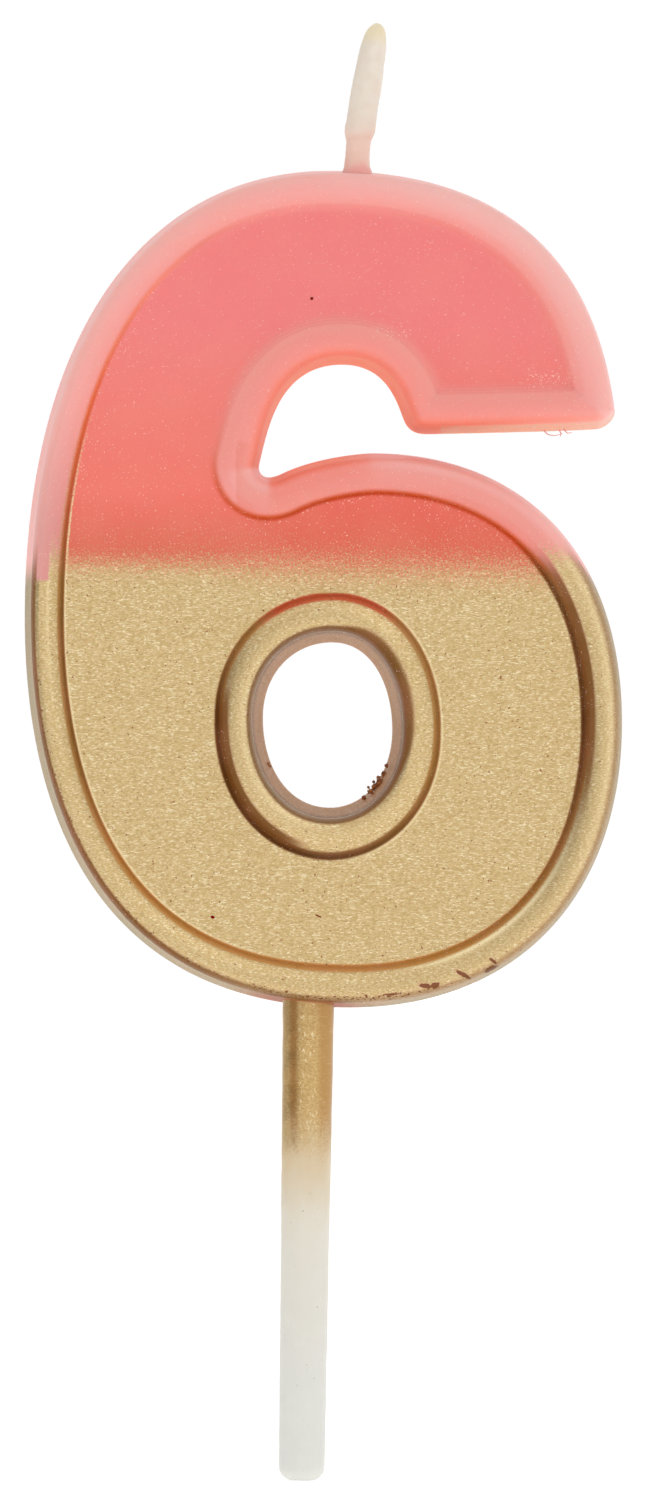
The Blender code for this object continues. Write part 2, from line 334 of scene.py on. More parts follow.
def relax(values, triangles, weight, rounds):
    """Average each value with its neighbours' a few times, as far as its weight says."""
    triangles = np.array(triangles)
    starts = triangles[:, (0, 1, 2, 1, 2, 0)].ravel()
    ends = triangles[:, (1, 2, 0, 0, 1, 2)].ravel()
    counts = np.bincount(starts, minlength=len(values))
    for _ in range(rounds):
        mean = np.bincount(starts, weights=values[ends], minlength=len(values)) / np.maximum(counts, 1)
        values = values + weight * (mean - values)
    return values


def fill_in(found, origin, heights, known):
    """Heights and facts of all points: flat face, rings as known, added ones like the nearest ring."""
    height = np.full(len(found), FACE_LEVEL)
    facts = np.zeros((len(found), 6))
    facts[:, 0] = CRISP_RIM[-1][0] + 1.0
    on_ring = (origin >= 0) & (origin < len(heights))
    height[on_ring] = heights[origin[on_ring]]
    facts[on_ring] = known[origin[on_ring]]
    for new in np.flatnonzero(origin < 0):
        spread = np.hypot(*(found - found[new]).T)
        spread[origin < 0] = np.inf
        near = np.argmin(spread)
        height[new] = height[near]
        facts[new] = facts[near]
    return height, facts


def as_cast(height, facts, found, triangles):
    """Smooth the rims where their groove is faint, then make face and beads slightly uneven."""
    distance, _, line = facts.T[:3]
    soft = (distance > 0.3) * fall(0.0, 0.5, line)
    height = relax(height, triangles, 0.6 * soft, 6)
    for column in (0, 3, 4, 5):
        facts[:, column] = relax(facts[:, column], triangles, 0.5 * soft, 4)
    sag = 0.05 * ripple(found, 16.0, 3) + 0.012 * ripple(found, 3.0, 4)
    height = height + sag * rise(2.6, 4.2, distance)
    bumps = 0.018 * ripple(found, 4.5, 5)
    return height + bumps * rise(0.3, 1.0, distance) * fall(1.8, 2.6, distance)


def build_front(shell, outer, counter, crest_y):
    """The beads and the flat face as one sheet; returns the vertex index of each crease point."""
    rims = (outer, counter)
    levels = [front_levels(rim) for rim in rims]
    order = [(side, 0) for side in (0, 1)]
    order += [(side, level) for side in (0, 1) for level in range(1, len(levels[side]))]
    loops, heights, known = [], [], []
    for side, level in order:
        points, height, distance, index = levels[side][level]
        rim = rims[side]
        given = (distance, np.full(len(points), side), rim.line[index], rim.pale[index])
        loops.append(points)
        heights.append(height)
        known.append(np.column_stack((*given, *rim.normals[index].T)))
    edge = max(knot[7] for knot in DIGIT_KNOTS + COUNTER_KNOTS) + RIM_MARGIN
    found, triangles, origin = fill(loops, face_grid(outer, counter, edge), len(loops[1]))
    height, facts = fill_in(found, np.array(origin), np.concatenate(heights), np.vstack(known))
    height = as_cast(height, facts, found, triangles)
    first = shell.add_points(at_depth(found, crest_y - height), [("front", *fact) for fact in facts])
    shell.faces.extend(tuple(first + i for i in triangle) for triangle in triangles)
    place = {source: first + i for i, source in enumerate(origin) if source >= 0}
    count = len(loops[0])
    return [place[i] for i in range(count)], [place[count + i] for i in range(len(loops[1]))]


def wall_rings(rim, crest_y, back_y):
    """Rings down the drafted side wall and round the back edge, from the crease to the flat back."""
    crease_y = crest_y - RIM_CREASE
    rings = []
    straight_end = back_y - BACK_ROUNDING
    for step in range(1, WALL_STEPS + 1):
        share = step / WALL_STEPS
        y = crease_y + share * (straight_end - crease_y)
        inward = rim.draft * (1.0 - share) + WALL_HOLLOW * math.sin(math.pi * share)
        rings.append(at_depth(rim.loop(inward), y))
    for angle in np.radians((22.5, 45.0, 67.5, 90.0)):
        y = straight_end + BACK_ROUNDING * math.sin(angle)
        rings.append(at_depth(rim.loop(BACK_ROUNDING * (1.0 - math.cos(angle))), y))
    return rings


def build_walls(shell, rim, side, crease, rings):
    previous = crease
    for level, ring in enumerate(rings):
        share = (level + 1) / len(rings)
        facts = [("wall", share, float(side), 0.0, *fact) for fact in zip(rim.pale, *rim.normals.T)]
        first = shell.add_points(ring, facts)
        current = list(range(first, first + len(ring)))
        shell.faces.extend(band(previous, current))
        previous = current
    return previous


def build_back(shell, outer, counter, edges, back_y):
    """The poured back: flat, a little uneven, and joined to the rounded back edges."""
    loops = [np.array([shell.points[i] for i in edge])[:, (0, 2)] for edge in edges]
    grid = face_grid(outer, counter, BACK_ROUNDING + GRID_STEP * 0.8)
    found, triangles, origin = fill(loops, grid, len(loops[1]))
    ring_count = len(loops[0]) + len(loops[1])
    ring_index = [*edges[0], *edges[1]]
    inner = [i for i, source in enumerate(origin) if not 0 <= source < ring_count]
    inner_points = found[inner]
    clear = np.minimum(
        distances_to_loop(inner_points, outer.tree),
        distances_to_loop(inner_points, counter.tree),
    )
    dip = 0.05 + 0.06 * ripple(inner_points, 9.0, 11) + 0.02 * ripple(inner_points, 2.2, 12)
    y = back_y - np.clip(dip, 0.0, 0.2) * rise(0.3, 1.6, clear)
    facts = [("back", 0.0, 0.0, 0.0, 0.2, 0.0, 0.0)] * len(inner)
    first = shell.add_points(at_depth(inner_points, y), facts)
    place = {i: first + n for n, i in enumerate(inner)}
    for i, source in enumerate(origin):
        if 0 <= source < ring_count:
            place[i] = ring_index[source]
    shell.faces.extend(tuple(place[i] for i in triangle) for triangle in triangles)


# ---- gold coverage, and painted shade and highlights on the gold

FILM_EDGE_Z = 36.5
FILM_EDGE_SLOPE = -0.012
MASK_EDGE_Z = 35.5
MASK_WIDTH = 1.6
COUNTER_CENTRE = (1.65, 23.6)
PICK_SHADOW_X = -0.3
PICK_SHADOW = (2.6, 4.6)
# Span of the painted shade under the pick.
PICK_SHADE_SPAN = (2.8, 7.0)
BOTTOM_Z = 3.0
BOWL_FROM_X = -6.0
BOWL_TOP_Z = 47.0
# Direction the light comes from, which is also taken as the spray's direction.
LIGHT_AND_SPRAY_FROM = (0.87, 0.5)


def by_pick(x, z, span):
    """Share that fades out over a span to either side of the pick, at the bottom of the digit."""
    return fall(*span, np.abs(x - PICK_SHADOW_X)) * (z < BOTTOM_Z)


def on_bowl(x, z, side):
    """True along the bowl's outer bead and the face near it."""
    return (side < 0.5) * (x > BOWL_FROM_X) * (z < BOWL_TOP_Z)


def front_cover(x, z, distance, side):
    """Share of the surface that the gold film covers on the front, bead by bead."""
    edge = FILM_EDGE_Z + FILM_EDGE_SLOPE * x
    wider = rise(-10.0, 0.0, x)
    face = fall(edge - 2.2 - 1.5 * wider, edge + 3.0 + 1.4 * wider, z)
    dust = 0.15 * fall(edge + 1.0, edge + 7.0, z)
    cover = np.maximum(face, dust)

    # The left rim was masked: a straight edge on its outer half, gold running up its inner slope.
    left = (side < 0.5) & (x < -14.0) & (z > 20.0) & (distance < GROOVE_CENTRE + 0.46)
    masked = fall(MASK_EDGE_Z - 0.08, MASK_EDGE_Z + 0.08, z)
    slope = rise(MASK_WIDTH - 0.12, MASK_WIDTH + 0.12, distance)
    slope *= fall(34.5, 41.0, z)
    foot = rise(GROOVE_CENTRE - 0.6, GROOVE_CENTRE - 0.2, distance)
    foot *= 0.7 * fall(38.0, 55.0, z)
    cover = np.where(left, np.maximum(masked, np.maximum(slope, foot)), cover)

    # The right rim fades over a short stretch, later on its outermost edge.
    right = (side < 0.5) & (x > 15.0) & (distance < SLOPE_FROM)
    fade = fall(36.0, 39.6, z + 1.6 * fall(0.0, 0.5, distance))
    cover = np.where(right, fade, cover)

    # The groove above the counter stayed bare.
    across = x - COUNTER_CENTRE[0]
    up = z - COUNTER_CENTRE[1]
    upward = rise(0.8, 0.97, up / np.hypot(across, up))
    bare = upward * np.exp(-(((distance - GROOVE_CENTRE + 0.05) / 0.3) ** 4))
    cover = np.where(side > 0.5, cover * (1.0 - bare), cover)

    # Just above the pick the outermost edge is bare too.
    return cover * (1.0 - 0.9 * by_pick(x, z, PICK_SHADOW) * fall(0.1, 0.3, distance))


def wall_cover(x, z, share, side):
    """Only stray dust reached the side walls, least of all beside the pick."""
    edge = FILM_EDGE_Z + FILM_EDGE_SLOPE * x
    below = fall(edge - 2.0, edge + 0.5, z)
    amount = np.where(side > 0.5, 0.26, 0.3 - 0.1 * share)
    beside = by_pick(x, z, PICK_SHADOW)
    under_arm = 0.4 * (x > 11.0) * (z > 47.5) * (z < 49.5)
    return np.maximum(below * amount * (1.0 - 0.8 * beside), under_arm)


def slope_shade_and_thin_film(distance, side, facing):
    """Painted shade, standing also for film the spray left thin: slopes turned from the light, steep outer
    edges.
    """
    inward = facing[0] * LIGHT_AND_SPRAY_FROM[0] + facing[1] * LIGHT_AND_SPRAY_FROM[1]
    slope = rise(SLOPE_FROM - 0.1, SLOPE_FROM + 0.35, distance)
    slope *= fall(GROOVE_CENTRE + 0.1, GROOVE_CENTRE + 0.4, distance)
    slope *= rise(0.6, 0.96, -inward)
    low_or_right = np.maximum(rise(0.1, 0.5, facing[1]), rise(0.2, 0.9, -facing[0]))
    outer_reach = STEEP_TO + 0.2 * low_or_right
    counter_reach = STEEP_TO + 0.75 * rise(0.55, 1.0, inward)
    reach = np.where(side > 0.5, counter_reach, outer_reach)
    steep = fall(0.5 * reach, reach + 0.15, distance)
    outer_edge = 0.34 + 0.61 * rise(-0.1, 0.9, facing[0])
    return np.maximum(slope, steep * np.where(side > 0.5, 0.6 + 0.15 * inward, outer_edge))


def highlights(x, z, distance, side, line, facing):
    """Painted highlights, pale lines on the gold: groove lips, the mask's edge, crests turned to the
    light.
    """
    lip = 1.7 * gauss(distance, RIDGE_CENTRE, RIDGE_WIDTH) * line * rise(0.0, 0.7, facing[0])
    mask = 0.6 * gauss(distance, MASK_WIDTH, 0.2) * (side < 0.5) * (x < -14.0)
    mask *= rise(20.0, 32.0, z) * fall(38.0, 43.0, z)
    turned = rise(0.2, 0.9, -facing[0] * LIGHT_AND_SPRAY_FROM[0] - facing[1] * LIGHT_AND_SPRAY_FROM[1])
    crest = 0.45 * gauss(distance, 0.7, 0.6) * turned
    lower_right = rise(0.8, 1.0, -0.66 * facing[0] + 0.75 * facing[1]) * (side < 0.5)
    crescent = 1.7 * gauss(distance, 2.35, 0.3) * lower_right
    return np.maximum(np.maximum(lip, mask), np.maximum(crest, crescent))


def wear(x, z, distance, side):
    """How likely the edge between side wall and bead is chipped: most at the bottom."""
    edge = gauss(distance, 0.4, 0.5) * (side < 0.5)
    bottom = rise(-6.0, -4.0, x) * fall(10.0, 13.0, x) * (z < 4.0)
    left = fall(-9.0, -6.0, x) * fall(24.0, 34.0, z)
    return edge * np.maximum(bottom, 0.8 * left)


def nicks_and_glints(x, z, distance, side):
    """How likely a pale nick with a painted glint is: along the arm's lower bead, the aperture's bead and
    the left groove.
    """
    arm = rise(17.0, 18.5, x) * fall(21.8, 22.6, x) * gauss(z, 52.4, 1.4)
    aperture = rise(5.0, 6.0, x) * fall(7.8, 9.0, x) * gauss(z, 56.3, 1.4)
    stroke = (x < -12.0) * gauss(distance, 3.3, 0.7) * rise(40.0, 44.0, z)
    bowl = on_bowl(x, z, side) * gauss(distance, 3.2, 0.8)
    return np.maximum(np.maximum(arm, aperture), 0.5 * np.maximum(stroke, bowl))


def gauss(value, centre, width):
    """A bell as wide as width at half its height."""
    return np.exp(-2.77 * ((value - centre) / width) ** 2)


# ---- colours of the wax, with painted light and shade

def linear(colours):
    """Linear values of sRGB colours given as 0..255."""
    values = np.array(colours) / 255.0
    return np.where(values <= 0.04045, values / 12.92, ((values + 0.055) / 1.055) ** 2.4)


def srgb(red, green, blue):
    return (*map(float, linear((red, green, blue))), 1.0)


def graded(values, stops, colours):
    """Colour of each value on a ramp of sRGB colours."""
    return np.column_stack([np.interp(values, stops, channel) for channel in linear(colours).T])


def towards(base, share, colour):
    """Blend rows of colours towards one sRGB colour or towards other rows."""
    target = linear(colour) if isinstance(colour, tuple) else colour
    return base + np.asarray(share, float)[:, None] * (target - base)


def even(colour, rows):
    """As many rows of one sRGB colour."""
    return np.broadcast_to(linear(colour), rows.shape)


# Colours across a bead, at these distances from the crease: painted light and shade, paler on
# lit beads, darker towards the groove, orange at the crease of shaded beads.
BEAD_STOPS = (0.0, 0.3, 0.7, 1.2, 1.8, 2.4, 2.8)
LIT_BEAD = (
    (249, 184, 177), (248, 181, 173), (244, 176, 169), (243, 169, 162),
    (243, 165, 158), (244, 162, 155), (243, 152, 143),
)
SHADED_BEAD = (
    (246, 138, 112), (245, 142, 124), (244, 147, 136), (243, 149, 140),
    (243, 153, 144), (244, 160, 150), (244, 156, 148),
)
# Side walls: painted light on the lit ones, orange painted shade on the others.
LIT_WALL = (252, 174, 166)
SHADED_WALL = (252, 134, 84)
# Painted highlight on the crowns of lit beads.
CROWN_HIGHLIGHT = (243, 198, 192)
BOWL_TINT = (226, 124, 106)
FACE_STOPS = (38.0, 43.0, 50.0, 57.0)
FACE_WAX = ((224, 105, 82), (242, 121, 106), (242, 128, 118), (242, 130, 129))
BOWL_FACE = (226, 92, 70)
BACK_WAX = (240, 134, 128)
# Colours in the grooves: painted shade over pooled lacquer and dust, darker towards the gold.
STROKE_STOPS = (36.0, 42.0, 50.0, 62.0)
STROKE_GROOVE_SHADE = ((172, 110, 52), (208, 116, 62), (238, 126, 74), (253, 150, 116))
BOWL_GROOVE_SHADE = (218, 94, 42)
GILT_LINES = (0.75, 0.88, 1.0)
GILT_GROOVE_SHADE = ((190, 140, 82), (170, 120, 58), (112, 68, 22))
BARE_GROOVE_SHADE = (200, 96, 58)
WALL_SHADED = (158, 140, 104)
# The counter's wall: dusted wax, with painted shade darkest at its crease.
WALL_HOLE = (184, 130, 78)
HOLE_CREASE_SHADE = (122, 76, 32)
# Painted shade under the pick.
WALL_SHADE_BY_PICK = (162, 90, 56)
# Brown of the painted shade where the film is thin.
THIN_FILM_SHADE = (126, 84, 40)


def groove_colour_and_shade(x, z, side, line):
    """Colour in the groove, painted shade in part: orange in the bare wax, brown where lacquer pooled,
    darker where the line is stronger.
    """
    stroke = graded(z, STROKE_STOPS, STROKE_GROOVE_SHADE)
    bare = towards(stroke, rise(-12.0, -8.0, x), BOWL_GROOVE_SHADE)
    low = (side < 0.5) * fall(10.0, 22.0, z)
    gilt = graded(line, GILT_LINES, GILT_GROOVE_SHADE) * (1.0 + 0.4 * low)[:, None]
    above = rise(COUNTER_CENTRE[1] + 5.4, COUNTER_CENTRE[1] + 6.6, z)
    above = above * fall(4.0, 6.5, np.abs(x - COUNTER_CENTRE[0])) * (z < 34.5)
    return towards(towards(gilt, above, BARE_GROOVE_SHADE), rise(35.0, 39.5, z), bare)


def wax_dye_and_painted_light(x, z, distance, side, line, pale, wall, bead, groove, thin_film_and_shade):
    """Colour of the dyed wax at each vertex, with what the spray did to it and with painted light and
    shade.
    """
    # Beads are painted paler where light falls on them, more orange where it does not.
    outer = rise(0.12, 0.4, pale)
    beads = towards(
        graded(distance, BEAD_STOPS, SHADED_BEAD), outer, graded(distance, BEAD_STOPS, LIT_BEAD)
    )
    # Painted highlight on the crowns.
    crown_highlight = rise(0.6, 1.0, pale) * fall(0.6, 2.6, distance)
    beads = towards(beads, 0.35 * crown_highlight, CROWN_HIGHLIGHT)
    bowl = on_bowl(x, z, side)
    beads = towards(beads, 0.35 * bowl * rise(0.3, 1.2, distance), BOWL_TINT)
    beads = beads * (1.0 - 0.2 * (x < -12.0) * fall(36.0, 52.0, z))[:, None]
    flat = towards(graded(z, FACE_STOPS, FACE_WAX), 0.45 * bowl * rise(-6.0, -2.0, x), BOWL_FACE)
    dye_and_painted_light = towards(flat, bead, beads)
    sides = towards(even(SHADED_WALL, dye_and_painted_light), outer, LIT_WALL)
    # Painted shade in the counter, darkest at its crease.
    hole = towards(even(WALL_HOLE, dye_and_painted_light), fall(0.05, 0.3, distance), HOLE_CREASE_SHADE)
    sprayed = towards(even(WALL_SHADED, dye_and_painted_light), side > 0.5, hole)
    # Painted shade on the wax under the pick.
    beside = by_pick(x, z, PICK_SHADE_SPAN)
    sprayed = towards(sprayed, beside, WALL_SHADE_BY_PICK)
    sides = towards(sides, fall(35.0, 37.5, z), sprayed)
    dye_and_painted_light = towards(dye_and_painted_light, wall, sides)
    dye_and_painted_light = towards(dye_and_painted_light, ~wall * beside * fall(0.2, 0.8, distance), WALL_SHADE_BY_PICK)
    gilt = fall(35.0, 39.0, z)
    # Painted shade: brown where the film is thin, on slopes turned from the light.
    dye_and_painted_light = towards(dye_and_painted_light, gilt * rise(0.0, 0.4, thin_film_and_shade), THIN_FILM_SHADE)
    # Painted shade in the groove.
    share = groove + gilt * (rise(0.02, 0.25, groove) - groove)
    return towards(dye_and_painted_light, share, groove_colour_and_shade(x, z, side, line))


def finish_facts(shell):
    """Turn each vertex's facts into the values that the finish reads."""
    points = np.array(shell.points)
    kind = np.array([fact[0] for fact in shell.facts])
    distance, side, line, pale, *facing = np.array([fact[1:] for fact in shell.facts]).T
    x, z = points[:, 0], points[:, 2]
    front = kind == "front"
    wall = kind == "wall"
    cover = np.zeros(len(points))
    cover[front] = front_cover(x[front], z[front], distance[front], side[front])
    cover[wall] = wall_cover(x[wall], z[wall], distance[wall], side[wall])
    width = GROOVE_WIDTH + 0.14 * fall(34.0, 44.0, z)
    groove = gauss(distance, GROOVE_CENTRE, width) * rise(0.2, 0.75, line) * front
    narrow = fall(2.65, 3.2, distance)
    wide = fall(2.3, 3.65, distance)
    bead = wide + rise(0.1, 0.6, line) * (narrow - wide)
    bead = np.where(front, bead, wall)
    # Painted shade on slopes turned from the light, taken also as thin film.
    thin_film_and_shade = slope_shade_and_thin_film(distance, side, facing) * front
    dye_and_painted_light = wax_dye_and_painted_light(x, z, distance, side, line, pale, wall, bead, groove, thin_film_and_shade)
    dye_and_painted_light[kind == "back"] = linear(BACK_WAX)
    # The vertex colours carry painted light and shade; two masks carry painted highlights and shade, one
    # painted glints.
    return {
        "dye_and_painted_light": dye_and_painted_light,
        "cover": cover,
        "groove": groove,
        "painted_highlight": highlights(x, z, distance, side, line, facing) * front,
        "thin_film_and_shade": thin_film_and_shade,
        "wall": wall * np.maximum(fall(35.0, 37.5, z), fall(0.12, 0.4, pale)),
        "wear": wear(x, z, distance, side) * front,
        "nick_and_glint": nicks_and_glints(x, z, distance, side) * front,
    }


def add_object(name, data):
    obj = bpy.data.objects.new(name, data)
    bpy.context.scene.collection.objects.link(obj)
    return obj


def make_mesh_object(name, points, faces, finish):
    mesh = bpy.data.meshes.new(name)
    mesh.from_pydata([tuple(MM * value for value in point) for point in points], [], faces)
    mesh.validate()
    mesh.update()
    mesh.shade_smooth()
    build = bmesh.new()
    build.from_mesh(mesh)
    bmesh.ops.recalc_face_normals(build, faces=build.faces)
    build.to_mesh(mesh)
    build.free()
    mesh.materials.append(finish)
    return add_object(name, mesh)


def store(obj, values):
    """Keep numbers, or colours, with the object's vertices."""
    for name, numbers in values.items():
        numbers = np.asarray(numbers, np.float32)
        if numbers.ndim == 1:
            attribute = obj.data.attributes.new(name, "FLOAT", "POINT")
            attribute.data.foreach_set("value", numbers)
        else:
            attribute = obj.data.attributes.new(name, "FLOAT_COLOR", "POINT")
            opaque = np.column_stack((numbers, np.ones(len(numbers), np.float32)))
            attribute.data.foreach_set("color", opaque.ravel())


def make_digit():
    low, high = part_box("wax_body")
    film_low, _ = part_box("gold_coat")
    crest_y = min(low.y, film_low.y) / MM
    back_y = high.y / MM
    outer = Rim(DIGIT_KNOTS, 1.0, True)
    counter = Rim(COUNTER_KNOTS, -1.0, False)
    shell = Shell()
    creases = build_front(shell, outer, counter, crest_y)
    edges = []
    for side, rim in enumerate((outer, counter)):
        rings = wall_rings(rim, crest_y, back_y)
        edges.append(build_walls(shell, rim, side, creases[side], rings))
    build_back(shell, outer, counter, edges, back_y)
    digit = make_mesh_object("digit_casting", shell.points, shell.faces, digit_finish())
    store(digit, finish_facts(shell))
    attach(digit, "root")
    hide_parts("wax_body", "gold_coat")


# ---- finishes

class Tree:
    """Short forms for wiring nodes."""

    def __init__(self, tree, coordinates):
        self.tree = tree
        self.coordinates = tree.nodes.new("ShaderNodeTexCoord").outputs[coordinates]

    def wire(self, value, socket):
        if isinstance(value, bpy.types.NodeSocket):
            self.tree.links.new(value, socket)
        elif value is not None:
            socket.default_value = value

    def add(self, kind, *values, **settings):
        node = self.tree.nodes.new(kind)
        for key, setting in settings.items():
            setattr(node, key, setting)
        for socket, value in zip(node.inputs, values):
            self.wire(value, socket)
        return node

    def set_inputs(self, node, **inputs):
        for name, value in inputs.items():
            self.wire(value, node.inputs[name])
        return node

    def math(self, operation, *values, clamp=False):
        return self.add("ShaderNodeMath", *values, operation=operation, use_clamp=clamp).outputs[0]

    def times(self, first, second, clamp=False):
        return self.math("MULTIPLY", first, second, clamp=clamp)

    def scaled(self, value, factor, shift):
        return self.math("MULTIPLY_ADD", value, factor, shift)

    def most(self, first, second):
        return self.math("MAXIMUM", first, second)

    def mix(self, factor, first, second):
        return self.add("ShaderNodeMix", factor, None, first, second, data_type="FLOAT").outputs[0]

    def step(self, value, low, high, first=0.0, second=1.0):
        node = self.add("ShaderNodeMapRange", value, low, high, first, second)
        node.interpolation_type = "SMOOTHSTEP"
        return node.outputs[0]

    def along(self, axis, low, high, first=0.0, second=1.0):
        """Value that changes smoothly along an axis of the coordinates."""
        dot = self.add("ShaderNodeVectorMath", self.coordinates, axis, operation="DOT_PRODUCT")
        return self.step(dot.outputs["Value"], low, high, first, second)


class Nodes(Tree):
    """A material, with short forms for its surface."""

    def __init__(self, name):
        self.material = bpy.data.materials.new(name)
        self.material.use_nodes = True
        super().__init__(self.material.node_tree, "Object")
        self.shader = self.tree.nodes["Principled BSDF"]

    def shade(self, name, value):
        self.wire(value, self.shader.inputs[name])

    def surface(self, colour, roughness, normal):
        self.shade("Base Color", colour)
        self.shade("Roughness", roughness)
        self.shade("Normal", normal)

    def scatter(self, weight, radius, scale):
        """Light spread under the surface: radius for each colour, scale in millimetres."""
        self.shade("Subsurface Weight", weight)
        self.shade("Subsurface Radius", radius)
        self.shade("Subsurface Scale", scale * MM)

    def blend(self, factor, first, second):
        unused = [None] * 5
        node = self.add("ShaderNodeMix", factor, *unused, first, second, data_type="RGBA")
        return node.outputs[2]

    def reach(self, value, low, high, first=0.0, second=1.0):
        """Like step, for a coordinate in metres and limits in millimetres."""
        return self.step(value, low * MM, high * MM, first, second)

    def fact(self, name):
        return self.add("ShaderNodeAttribute", attribute_name=name).outputs["Fac"]

    def place(self):
        """The three object coordinates in metres, as separate values."""
        return self.add("ShaderNodeSeparateXYZ", self.coordinates).outputs

    def noise(self, size, detail=2.0, roughness=0.5, stretch=None):
        """Noise with features about size millimetres across, longer where stretch is larger."""
        place = self.coordinates
        if stretch is not None:
            mapping = self.add("ShaderNodeMapping", place)
            self.set_inputs(mapping, Scale=tuple(1.0 / value for value in stretch))
            place = mapping.outputs[0]
        node = self.set_inputs(
            self.add("ShaderNodeTexNoise"),
            Vector=place, Scale=1.0 / (size * MM), Detail=detail, Roughness=roughness,
        )
        return node.outputs[0]

    def bump(self, height, strength, distance, normal=None):
        node = self.set_inputs(
            self.add("ShaderNodeBump"),
            Strength=strength, Distance=distance * MM, Height=height, Normal=normal,
        )
        return node.outputs[0]

    def spots(self, places, depth_y, reach_y):
        """Mask of small rough ellipses: (x, z, half length, half width, tilt in degrees) each."""
        wobble = self.scaled(self.noise(0.35, 2.0), 1.2, -0.6)
        nearest = None
        for x, z, length, width, tilt in places:
            node = self.add("ShaderNodeMapping", self.coordinates, vector_type="TEXTURE")
            self.set_inputs(
                node,
                Location=(x * MM, depth_y * MM, z * MM),
                Rotation=(0.0, -math.radians(tilt), 0.0),
                Scale=(length * MM, reach_y * MM, width * MM),
            )
            size = self.add("ShaderNodeVectorMath", node.outputs[0], operation="LENGTH").outputs["Value"]
            nearest = size if nearest is None else self.math("MINIMUM", nearest, size)
        return self.step(self.math("ADD", nearest, wobble), 1.15, 0.75)


GOLD_LIGHT = srgb(255, 244, 210)
# Colour of the painted highlights on the gold.
GOLD_HIGHLIGHT = srgb(255, 237, 190)
GOLD_MID = srgb(215, 189, 138)
GOLD_DEEP = srgb(196, 167, 113)
# Brown of painted shade and thin film; also the dark flecks.
GOLD_THIN_AND_SHADE = srgb(122, 74, 26)
CHIP_BROWN = srgb(116, 72, 36)

# Single marks: (x, z, half length, half width, tilt in degrees).
CHIPS = (
    (6.9, 1.25, 0.6, 0.1, 4.0),
    (9.7, 1.95, 0.62, 0.24, -10.0),
    (10.5, 2.0, 0.42, 0.26, 16.0),
    (12.8, 2.9, 0.75, 0.2, -28.0),
    (15.2, 3.35, 0.7, 0.24, 22.0),
    (15.35, 4.0, 0.4, 0.13, -38.0),
)
DARK_SPECKS = (
    (0.3, 59.0, 0.17, 0.13, 30.0),
    (0.8, 7.75, 0.28, 0.08, -25.0),
    (-7.95, 7.65, 0.2, 0.12, -20.0),
)


CHIP_TOP = 37.0


def wax_colour(n, nick_and_glint):
    """The wax colour with its painted light, faintly clouded, with painted glints, most where it is
    nicked.
    """
    dye_and_painted_light = n.add("ShaderNodeAttribute", attribute_name="dye_and_painted_light").outputs["Color"]
    wax = n.blend(n.step(n.noise(4.0, 3.0), 0.35, 0.7, 0.0, 0.1), dye_and_painted_light, srgb(242, 156, 134))
    # Painted glints: pale specks, more where the wax is nicked.
    glints = n.math("ADD", n.noise(0.13, 1.0), n.times(nick_and_glint, 0.09))
    return n.blend(n.step(glints, 0.71, 0.75, 0.0, 0.6), wax, srgb(255, 228, 212))


def lacquer_colour(n, grain, fine, painted_highlight, thin_film_and_shade):
    """Flaked gold, paler with painted highlights, and brown with painted shade where the film is thin."""
    gold = n.blend(n.step(grain, 0.36, 0.62), GOLD_DEEP, GOLD_MID)
    gold = n.blend(n.step(fine, 0.57, 0.65, 0.0, 0.7), gold, GOLD_LIGHT)
    gold = n.blend(n.step(fine, 0.42, 0.34, 0.0, 0.16), gold, GOLD_THIN_AND_SHADE)
    gold = n.blend(n.times(painted_highlight, 0.5), gold, GOLD_HIGHLIGHT)
    return n.blend(n.times(thin_film_and_shade, 0.8), gold, GOLD_THIN_AND_SHADE)


def film_share(n, cover, groove, thin_film_and_shade):
    """The film's share, broken up into specks along its edges, less in the grooves and under the painted
    shade.
    """
    spread = n.scaled(n.noise(0.16, 2.0, 0.7), 1.8, -0.9)
    spread = n.times(spread, n.step(cover, 0.0, 0.12))
    film = n.step(n.math("ADD", cover, spread), 0.12, 0.88)
    film = n.times(film, n.step(groove, 0.1, 0.6, 1.0, 0.06))
    return n.times(film, n.step(thin_film_and_shade, 0.0, 0.8, 1.0, 0.06))


def chipped(n, wear):
    """Mask of the chips: the single ones and the small ones where the edge is worn."""
    small = n.math("ADD", n.noise(0.24, 2.0, 0.6), n.times(wear, 0.14))
    return n.most(n.spots(CHIPS, -5.0, 2.5), n.step(small, 0.68, 0.72))


